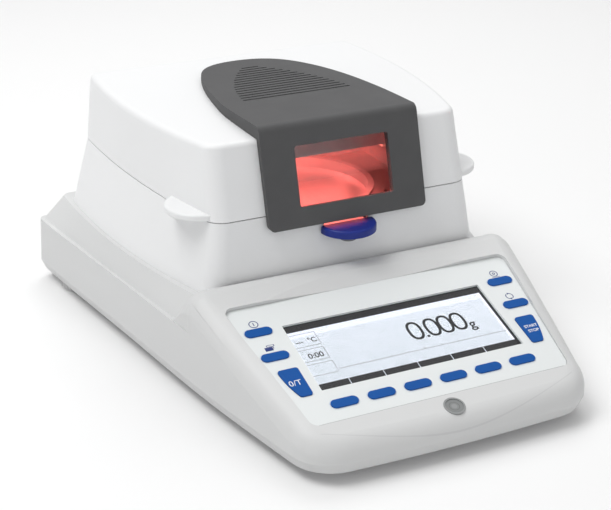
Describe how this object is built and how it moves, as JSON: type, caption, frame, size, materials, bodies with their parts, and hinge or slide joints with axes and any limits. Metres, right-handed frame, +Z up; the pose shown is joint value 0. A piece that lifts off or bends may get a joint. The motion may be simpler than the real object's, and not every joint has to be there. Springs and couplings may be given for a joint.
{
  "type": "moisture analyzer",
  "caption": "Bench moisture analyzer: sloping key and display console, white drying chamber with a hinged windowed heater hood, lift-out pan handler and levelling feet.",
  "frame": {"origin": "centre of the bounding box at the table surface", "axes": "+X to the right seen from the front, -Y the front with the console, +Z up"},
  "size_m": [0.261, 0.328, 0.1469],
  "materials": {
    "white_shell": "satin",
    "dark_cover": "satin",
    "grip_blue": "satin",
    "key_blue": "satin",
    "membrane": "matte",
    "clear": "clear",
    "window_clear": "clear",
    "lcd": "lit",
    "board": "satin",
    "steel": "brushed",
    "aluminium": "satin",
    "reflector": "polished",
    "black_plastic": "matte",
    "ceramic": "matte",
    "lamp_glass": "lit",
    "rubber": "matte",
    "foot_grey": "matte",
    "level_fluid": "clear"
  },
  "bodies": {
    "base": {"base_housing": "white_shell", "base_plate": "steel", "lower_chamber": "white_shell", "chamber_floor": "steel", "draft_shield": "steel", "pan_holder": "steel", "keypad_membrane": "membrane", "display_window": "clear", "lcd_module": "lcd", "display_board": "board", "level_ring": "foot_grey", "level_vial": "level_fluid", "weigh_cell": "aluminium", "cell_magnet": "steel", "main_board": "board", "power_supply": "steel", "power_inlet": "black_plastic", "inlet_pins": "steel", "serial_port": "steel", "usb_port": "steel", "front_feet": "rubber", "plate_screws": "steel", "hinge_brackets": "steel", "hinge_pins": "steel"},
    "hood": {"hood_shell": "white_shell", "hood_cover": "dark_cover", "window_glass": "window_clear", "lift_tab_left": "white_shell", "lift_tab_right": "white_shell", "reflector": "reflector", "heater_lamps": "lamp_glass", "lamp_sockets": "ceramic", "heater_frame": "steel", "heater_posts": "steel", "lamp_guard": "clear", "temperature_probe": "steel", "hinge_knuckles": "steel"},
    "pan_lift": {"sample_pan": "aluminium", "pan_handler_arm": "steel", "handler_grip": "grip_blue"},
    "rear_foot_left": {"rear_foot_left": "foot_grey"},
    "rear_foot_right": {"rear_foot_right": "foot_grey"},
    "soft_key_1": {"soft_key_1": "key_blue"},
    "soft_key_2": {"soft_key_2": "key_blue"},
    "soft_key_3": {"soft_key_3": "key_blue"},
    "soft_key_4": {"soft_key_4": "key_blue"},
    "soft_key_5": {"soft_key_5": "key_blue"},
    "soft_key_6": {"soft_key_6": "key_blue"},
    "left_key_upper": {"left_key_upper": "key_blue"},
    "left_key_lower": {"left_key_lower": "key_blue"},
    "right_key_upper": {"right_key_upper": "key_blue"},
    "right_key_lower": {"right_key_lower": "key_blue"},
    "tare_key": {"tare_key": "key_blue"},
    "start_key": {"start_key": "key_blue"}
  },
  "joints": [
    {"name": "hood_hinge", "type": "hinge", "parent": "base", "child": "hood", "pos_m": [0, 0.159, 0.0966], "axis": [-1, 0, 0], "range_deg": [0, 75]},
    {"name": "pan_lift_slide", "type": "slide", "parent": "base", "child": "pan_lift", "axis": [0, 0, 1], "range_m": [0, 0.002]},
    {"name": "rear_foot_left_turn", "type": "hinge", "parent": "base", "child": "rear_foot_left", "pos_m": [-0.109, 0.136, 0.004], "axis": [0, 0, 1], "range_deg": [-180, 180]},
    {"name": "rear_foot_right_turn", "type": "hinge", "parent": "base", "child": "rear_foot_right", "pos_m": [0.109, 0.136, 0.004], "axis": [0, 0, 1], "range_deg": [-180, 180]},
    {"name": "soft_key_1_press", "type": "slide", "parent": "base", "child": "soft_key_1", "axis": [0, 0.3057, -0.9521], "range_m": [0, 0.0004], "stiffness_N_per_m": 600, "springref_m": -0.0004},
    {"name": "soft_key_2_press", "type": "slide", "parent": "base", "child": "soft_key_2", "axis": [0, 0.3057, -0.9521], "range_m": [0, 0.0004], "stiffness_N_per_m": 600, "springref_m": -0.0004},
    {"name": "soft_key_3_press", "type": "slide", "parent": "base", "child": "soft_key_3", "axis": [0, 0.3057, -0.9521], "range_m": [0, 0.0004], "stiffness_N_per_m": 600, "springref_m": -0.0004},
    {"name": "soft_key_4_press", "type": "slide", "parent": "base", "child": "soft_key_4", "axis": [0, 0.3057, -0.9521], "range_m": [0, 0.0004], "stiffness_N_per_m": 600, "springref_m": -0.0004},
    {"name": "soft_key_5_press", "type": "slide", "parent": "base", "child": "soft_key_5", "axis": [0, 0.3057, -0.9521], "range_m": [0, 0.0004], "stiffness_N_per_m": 600, "springref_m": -0.0004},
    {"name": "soft_key_6_press", "type": "slide", "parent": "base", "child": "soft_key_6", "axis": [0, 0.3057, -0.9521], "range_m": [0, 0.0004], "stiffness_N_per_m": 600, "springref_m": -0.0004},
    {"name": "left_key_upper_press", "type": "slide", "parent": "base", "child": "left_key_upper", "axis": [0, 0.3057, -0.9521], "range_m": [0, 0.0004], "stiffness_N_per_m": 600, "springref_m": -0.0004},
    {"name": "left_key_lower_press", "type": "slide", "parent": "base", "child": "left_key_lower", "axis": [0, 0.3057, -0.9521], "range_m": [0, 0.0004], "stiffness_N_per_m": 600, "springref_m": -0.0004},
    {"name": "right_key_upper_press", "type": "slide", "parent": "base", "child": "right_key_upper", "axis": [0, 0.3057, -0.9521], "range_m": [0, 0.0004], "stiffness_N_per_m": 600, "springref_m": -0.0004},
    {"name": "right_key_lower_press", "type": "slide", "parent": "base", "child": "right_key_lower", "axis": [0, 0.3057, -0.9521], "range_m": [0, 0.0004], "stiffness_N_per_m": 600, "springref_m": -0.0004},
    {"name": "tare_key_press", "type": "slide", "parent": "base", "child": "tare_key", "axis": [0, 0.3057, -0.9521], "range_m": [0, 0.0004], "stiffness_N_per_m": 600, "springref_m": -0.0004},
    {"name": "start_key_press", "type": "slide", "parent": "base", "child": "start_key", "axis": [0, 0.3057, -0.9521], "range_m": [0, 0.0004], "stiffness_N_per_m": 600, "springref_m": -0.0004}
  ]
}
